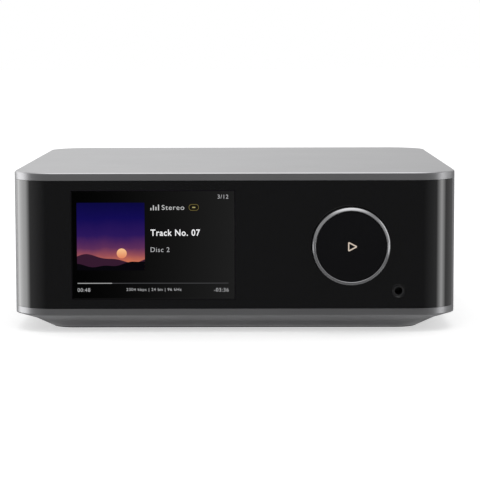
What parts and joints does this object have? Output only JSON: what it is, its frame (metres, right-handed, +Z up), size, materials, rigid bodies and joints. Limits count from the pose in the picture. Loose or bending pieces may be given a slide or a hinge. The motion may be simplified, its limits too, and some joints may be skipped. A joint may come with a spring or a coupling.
{
  "type": "network music streamer",
  "caption": "Compact table-top audio unit: rounded satin metal case, gloss front that wraps round its corners, colour display, turning knob round a play button, rear sockets.",
  "frame": {"origin": "middle of the footprint, on the surface that the foot rests on", "axes": "-Y is the front with the display and knob, +Y the rear sockets, +X the right side seen from the front, +Z up"},
  "size_m": [0.205, 0.22, 0.0736],
  "materials": {
    "housing": "fine satin anodised",
    "front_gloss": "gloss black",
    "inner_black": "matt black",
    "pan": "fine matt texture",
    "foot": "matt rubber",
    "steel": "plain steel",
    "window": "gloss clear over a black cell",
    "cell": "lit display",
    "tray": "pressed sheet",
    "ribbon": "amber film",
    "knob_black": "black anodised",
    "trim": "turned bright bevel",
    "magnet": "sintered magnet",
    "button": "gloss black",
    "icon": "lit white",
    "board": "green solder mask",
    "nickel": "nickel plate",
    "gold": "gold plate",
    "white_plastic": "white moulding",
    "red_plastic": "red moulding",
    "winding": "yellow tape over copper",
    "ferrite": "sintered ferrite",
    "sleeve": "printed sleeve",
    "lead": "insulated wire",
    "sink": "black anodised",
    "chip": "moulded package"
  },
  "bodies": {
    "case": {"housing": "housing", "base_pan": "pan", "rubber_foot": "foot", "base_screws": "steel", "rear_panel": "inner_black", "rear_screws": "steel", "front_panel": "front_gloss", "front_frame": "inner_black", "front_screws": "steel", "display_glass": "window", "display_cell": "cell", "display_tray": "tray", "display_ribbon": "ribbon", "knob_hub": "inner_black", "knob_clip": "steel", "play_switch": "inner_black", "knob_board": "board", "knob_screws": "steel", "knob_ribbon": "ribbon", "phones_socket": "inner_black", "phones_bezel": "nickel", "jack_blocks": "inner_black", "jack_shells": "gold", "white_inserts": "white_plastic", "red_inserts": "red_plastic", "black_inserts": "inner_black", "optical_blocks": "inner_black", "port_shells": "nickel", "port_inserts": "inner_black", "trigger_socket": "inner_black", "ground_post": "nickel", "mains_inlet": "inner_black", "mains_pins": "nickel", "power_board": "board", "power_plugs": "white_plastic", "transformer_core": "ferrite", "windings": "winding", "power_capacitors": "sleeve", "heat_sinks": "sink", "power_leads": "lead", "main_board": "board", "standoffs": "nickel", "board_screws": "steel", "shield_cans": "nickel", "audio_capacitors": "sleeve", "chips": "chip", "ribbon_sockets": "white_plastic", "antennas": "board", "signal_leads": "lead"},
    "knob": {"knob_shell": "knob_black", "knob_trim_ring": "trim", "encoder_magnet": "magnet"},
    "button": {"play_button": "button", "play_icon": "icon"},
    "optical_in_flap": {"optical_in_shutter": "inner_black"},
    "optical_out_flap": {"optical_out_shutter": "inner_black"},
    "captive_washer": {"ground_washer": "nickel"},
    "terminal_nut": {"ground_nut": "gold"}
  },
  "joints": [
    {"name": "knob_turn", "type": "hinge", "parent": "case", "child": "knob", "pos_m": [0.05335, -0.1025, 0.0403], "axis": [0, 1, 0], "continuous": true},
    {"name": "play_press", "type": "slide", "parent": "case", "child": "button", "axis": [0, 1, 0], "range_m": [0, 0.0004], "stiffness_N_per_m": 3000, "springref_m": -0.0002},
    {"name": "optical_in_hinge", "type": "hinge", "parent": "case", "child": "optical_in_flap", "pos_m": [0.0115, 0.1011, 0.04005], "axis": [-1, 0, 0], "range_deg": [0, 80], "stiffness_Nm_per_rad": 0.0002, "springref_deg": -22.92},
    {"name": "optical_out_hinge", "type": "hinge", "parent": "case", "child": "optical_out_flap", "pos_m": [0.0115, 0.1011, 0.02885], "axis": [-1, 0, 0], "range_deg": [0, 80], "stiffness_Nm_per_rad": 0.0002, "springref_deg": -22.92},
    {"name": "washer_travel", "type": "slide", "parent": "case", "child": "captive_washer", "axis": [0, 1, 0], "range_m": [0, 0.0028]},
    {"name": "nut_turn", "type": "hinge", "parent": "captive_washer", "child": "terminal_nut", "pos_m": [0.071, 0.1044, 0.028], "axis": [0, 1, 0], "range_deg": [0, 1440]}
  ],
  "couplings": [
    {"joint": "nut_turn", "follows": "washer_travel", "rad_per_m": 8976}
  ]
}
